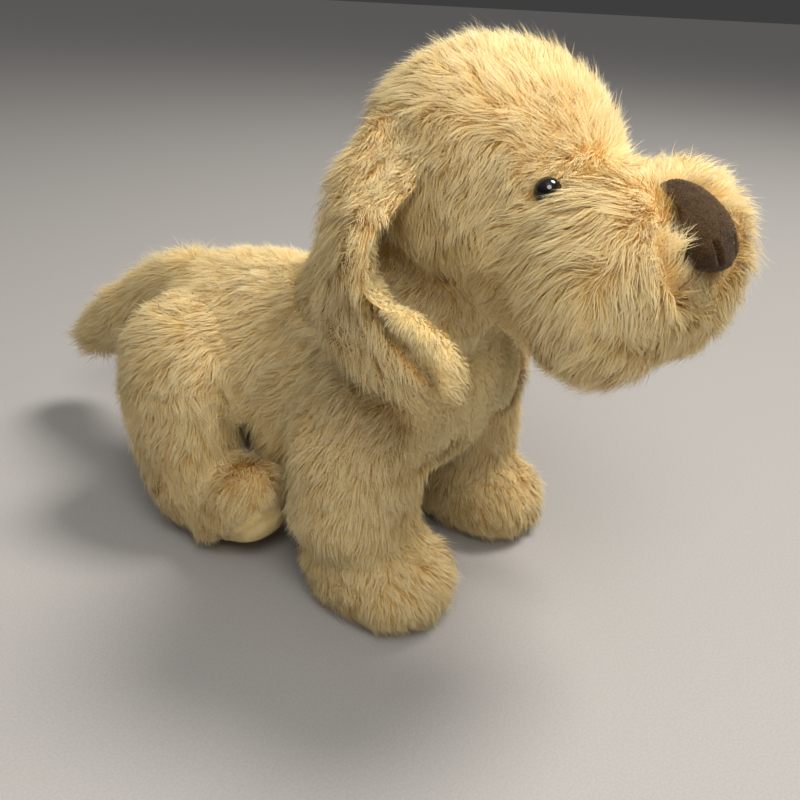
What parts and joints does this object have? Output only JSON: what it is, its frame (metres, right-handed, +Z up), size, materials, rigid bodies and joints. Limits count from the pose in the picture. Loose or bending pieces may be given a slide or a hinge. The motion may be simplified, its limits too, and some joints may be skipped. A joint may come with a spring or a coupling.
{
  "type": "plush dog",
  "caption": "Standing stuffed toy dog sewn from long-pile fur panels, with a large soft head, drooping ears, stub legs and a tail.",
  "frame": {"origin": "on the floor under the middle of the whole dog's box", "axes": "+Z up, -Y the way the body faces, +X to the dog's left; the head stands turned 12 degrees to the dog's right"},
  "size_m": [0.1638, 0.391, 0.245],
  "materials": {
    "fur": "long cream and tan pile, matt",
    "short_pile": "short cream pile, matt",
    "nose_cloth": "brown short velour",
    "stuffing": "loose white fibre",
    "eye": "polished black",
    "eye_washer": "moulded, matt"
  },
  "bodies": {
    "torso": {"body_side_left": "fur", "body_side_right": "fur", "chest_panel": "short_pile", "belly_panel": "short_pile", "body_stuffing": "stuffing"},
    "neck": {"neck_cover_left": "fur", "neck_cover_right": "fur", "neck_stuffing": "stuffing"},
    "head": {"head_side_left": "fur", "head_side_right": "fur", "head_gusset": "fur", "chin_gusset": "fur", "head_stuffing": "stuffing", "nose_cover": "nose_cloth", "nose_padding": "stuffing", "eye_left": "eye", "eye_washer_left": "eye_washer", "eye_right": "eye", "eye_washer_right": "eye_washer"},
    "ear_left": {"ear_back_left": "fur", "ear_lining_left": "short_pile"},
    "ear_right": {"ear_back_right": "fur", "ear_lining_right": "short_pile"},
    "front_leg_left": {"front_leg_outer_left": "fur", "front_leg_inner_left": "fur", "front_leg_sole_left": "fur", "front_leg_stuffing_left": "stuffing"},
    "front_leg_right": {"front_leg_outer_right": "fur", "front_leg_inner_right": "fur", "front_leg_sole_right": "fur", "front_leg_stuffing_right": "stuffing"},
    "hind_leg_left": {"hind_leg_outer_left": "fur", "hind_leg_inner_left": "fur", "hind_leg_sole_left": "short_pile", "hind_leg_stuffing_left": "stuffing"},
    "hind_leg_right": {"hind_leg_outer_right": "fur", "hind_leg_inner_right": "fur", "hind_leg_sole_right": "short_pile", "hind_leg_stuffing_right": "stuffing"},
    "tail": {"tail_left": "fur", "tail_right": "fur", "tail_stuffing": "stuffing"}
  },
  "joints": [
    {"name": "neck_turn", "type": "hinge", "parent": "torso", "child": "neck", "pos_m": [0.00487, -0.04491, 0.132], "axis": [0, 0, 1], "range_deg": [-10, 34], "stiffness_Nm_per_rad": 2},
    {"name": "head_nod", "type": "hinge", "parent": "neck", "child": "head", "pos_m": [0.00237, -0.05665, 0.142], "axis": [0.9781, -0.2079, 0], "range_deg": [-10, 10], "stiffness_Nm_per_rad": 3},
    {"name": "ear_lift_left", "type": "hinge", "parent": "head", "child": "ear_left", "pos_m": [0.0435, -0.09402, 0.222], "axis": [-0.2079, -0.9781, 0], "range_deg": [0, 70]},
    {"name": "ear_lift_right", "type": "hinge", "parent": "head", "child": "ear_right", "pos_m": [-0.0504, -0.07406, 0.222], "axis": [0.2079, 0.9781, 0], "range_deg": [0, 70]},
    {"name": "front_leg_swing_left", "type": "hinge", "parent": "torso", "child": "front_leg_left", "pos_m": [0.00487, -0.05891, 0.086], "axis": [1, 0, 0], "range_deg": [-12, 5], "stiffness_Nm_per_rad": 3},
    {"name": "front_leg_swing_right", "type": "hinge", "parent": "torso", "child": "front_leg_right", "pos_m": [0.00487, -0.05891, 0.086], "axis": [1, 0, 0], "range_deg": [-12, 5], "stiffness_Nm_per_rad": 3},
    {"name": "hind_leg_swing_left", "type": "hinge", "parent": "torso", "child": "hind_leg_left", "pos_m": [0.00487, 0.05109, 0.08], "axis": [1, 0, 0], "range_deg": [-4, 12], "stiffness_Nm_per_rad": 3},
    {"name": "hind_leg_swing_right", "type": "hinge", "parent": "torso", "child": "hind_leg_right", "pos_m": [0.00487, 0.05109, 0.08], "axis": [1, 0, 0], "range_deg": [-4, 12], "stiffness_Nm_per_rad": 3},
    {"name": "tail_wag", "type": "hinge", "parent": "torso", "child": "tail", "pos_m": [0.00487, 0.08909, 0.112], "axis": [0, 0, 1], "range_deg": [-20, 20], "stiffness_Nm_per_rad": 0.3}
  ]
}
